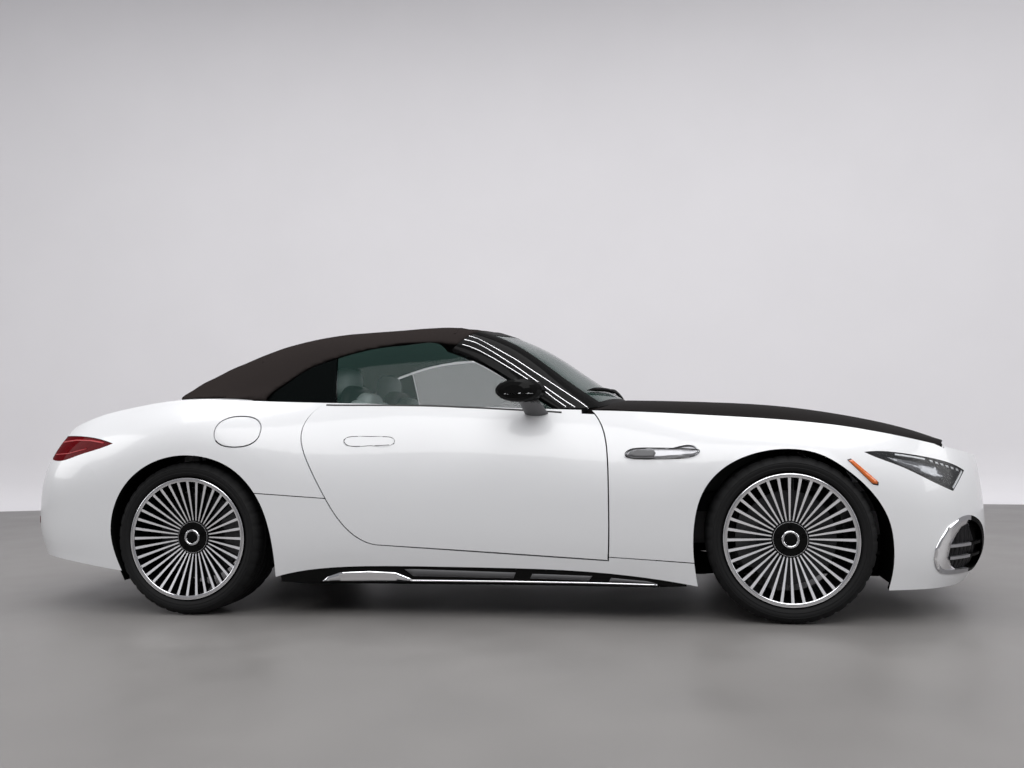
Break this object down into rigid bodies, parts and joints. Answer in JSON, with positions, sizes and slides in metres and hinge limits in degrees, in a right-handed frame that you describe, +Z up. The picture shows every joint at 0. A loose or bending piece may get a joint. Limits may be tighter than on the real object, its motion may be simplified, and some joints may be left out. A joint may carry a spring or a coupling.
{
  "type": "roadster convertible",
  "caption": "Open two-seat sports car with a closed fabric roof, opening doors, bonnet, boot lid and fuel flap, steered front wheels and rolling wheels.",
  "frame": {"origin": "on the ground, under the centre of the bounding box", "axes": "+X towards the nose, +Y to the car's left, +Z up"},
  "size_m": [4.6979, 2.101, 1.3595],
  "materials": {
    "body_paint": "pearl gloss",
    "black_paint": "gloss",
    "roof_fabric": "woven acrylic",
    "clear_glass": "tinted",
    "frame_steel": "satin",
    "rubber_tyre": "sidewall",
    "wheel_alloy": "machined face",
    "disc_iron": "ground",
    "suspension_alloy": "satin",
    "trim_black": "gloss",
    "seat_leather": "soft grain",
    "dash_plastic": "soft touch",
    "lamp_clear": "clear",
    "lamp_red": "red lens",
    "bright_trim": "polished",
    "exhaust_steel": "satin",
    "engine_cast": "cast",
    "liner_plastic": "grained"
  },
  "bodies": {
    "root": {"air_vents": "bright_trim", "dashboard": "dash_plastic", "engine_block": "engine_cast", "exhaust": "exhaust_steel", "floor_tub": "frame_steel", "frame_rails": "frame_steel", "front_bumper": "body_paint", "front_fenders": "body_paint", "grille": "bright_trim", "headlamps": "lamp_clear", "rear_body": "body_paint", "rear_bumper": "body_paint", "rear_windows": "clear_glass", "roof_cover": "body_paint", "seats": "seat_leather", "side_skirts": "body_paint", "sill_trims": "trim_black", "soft_top": "roof_fabric", "suspension": "suspension_alloy", "tail_lamps": "lamp_red", "wheel_liners": "liner_plastic", "windscreen": "clear_glass", "windscreen_frame": "black_paint"},
    "door_left_body": {"door_left": "body_paint", "door_glass_left": "clear_glass", "mirror_left": "trim_black"},
    "door_right_body": {"door_right": "body_paint", "door_glass_right": "clear_glass", "mirror_right": "trim_black"},
    "hood_body": {"hood": "black_paint"},
    "boot_lid_body": {"boot_lid": "body_paint"},
    "fuel_flap_body": {"fuel_flap": "body_paint"},
    "steering_wheel_body": {"steering_wheel": "dash_plastic"},
    "knuckle_left_body": {"knuckle_front_left": "suspension_alloy"},
    "knuckle_right_body": {"knuckle_front_right": "suspension_alloy"},
    "wheel_front_left_body": {"tyre_front_left": "rubber_tyre", "rim_front_left": "wheel_alloy", "brake_disc_front_left": "disc_iron"},
    "wheel_front_right_body": {"tyre_front_right": "rubber_tyre", "rim_front_right": "wheel_alloy", "brake_disc_front_right": "disc_iron"},
    "wheel_rear_left_body": {"tyre_rear_left": "rubber_tyre", "rim_rear_left": "wheel_alloy", "brake_disc_rear_left": "disc_iron"},
    "wheel_rear_right_body": {"tyre_rear_right": "rubber_tyre", "rim_rear_right": "wheel_alloy", "brake_disc_rear_right": "disc_iron"}
  },
  "joints": [
    {"name": "door_left_hinge", "type": "hinge", "parent": "root", "child": "door_left_body", "pos_m": [0.5765, 0.9215, 0.6], "axis": [0, 0, -1], "range_deg": [0, 64]},
    {"name": "door_right_hinge", "type": "hinge", "parent": "root", "child": "door_right_body", "pos_m": [0.5765, -0.9215, 0.6], "axis": [0, 0, 1], "range_deg": [0, 64]},
    {"name": "hood_hinge", "type": "hinge", "parent": "root", "child": "hood_body", "pos_m": [0.53, 0, 0.93], "axis": [0, -1, 0], "range_deg": [0, 48]},
    {"name": "boot_lid_hinge", "type": "hinge", "parent": "root", "child": "boot_lid_body", "pos_m": [-1.6965, 0, 1.002], "axis": [0, 1, 0], "range_deg": [0, 70]},
    {"name": "fuel_flap_hinge", "type": "hinge", "parent": "root", "child": "fuel_flap_body", "pos_m": [-0.9605, -0.90001, 0.841], "axis": [0, 0, 1], "range_deg": [0, 80]},
    {"name": "steer_left", "type": "hinge", "parent": "root", "child": "knuckle_left_body", "pos_m": [1.3985, 0.739, 0.352], "axis": [0, 0, 1], "range_deg": [-32, 32]},
    {"name": "steer_right", "type": "hinge", "parent": "root", "child": "knuckle_right_body", "pos_m": [1.3985, -0.739, 0.352], "axis": [0, 0, 1], "range_deg": [-32, 32]},
    {"name": "steering_wheel_turn", "type": "hinge", "parent": "root", "child": "steering_wheel_body", "pos_m": [0.0985, 0.37, 0.851], "axis": [-0.9607, 0, 0.2775], "range_deg": [-464, 464]},
    {"name": "wheel_front_left_spin", "type": "hinge", "parent": "knuckle_left_body", "child": "wheel_front_left_body", "pos_m": [1.3985, 0.8, 0.352], "axis": [0, 1, 0], "continuous": true},
    {"name": "wheel_rear_left_spin", "type": "hinge", "parent": "root", "child": "wheel_rear_left_body", "pos_m": [-1.3015, 0.8, 0.352], "axis": [0, 1, 0], "continuous": true},
    {"name": "wheel_front_right_spin", "type": "hinge", "parent": "knuckle_right_body", "child": "wheel_front_right_body", "pos_m": [1.3985, -0.8, 0.352], "axis": [0, 1, 0], "continuous": true},
    {"name": "wheel_rear_right_spin", "type": "hinge", "parent": "root", "child": "wheel_rear_right_body", "pos_m": [-1.3015, -0.8, 0.352], "axis": [0, 1, 0], "continuous": true}
  ],
  "couplings": [
    {"joint": "steer_right", "follows": "steer_left", "ratio": 1},
    {"joint": "steering_wheel_turn", "follows": "steer_left", "ratio": 14.4}
  ]
}
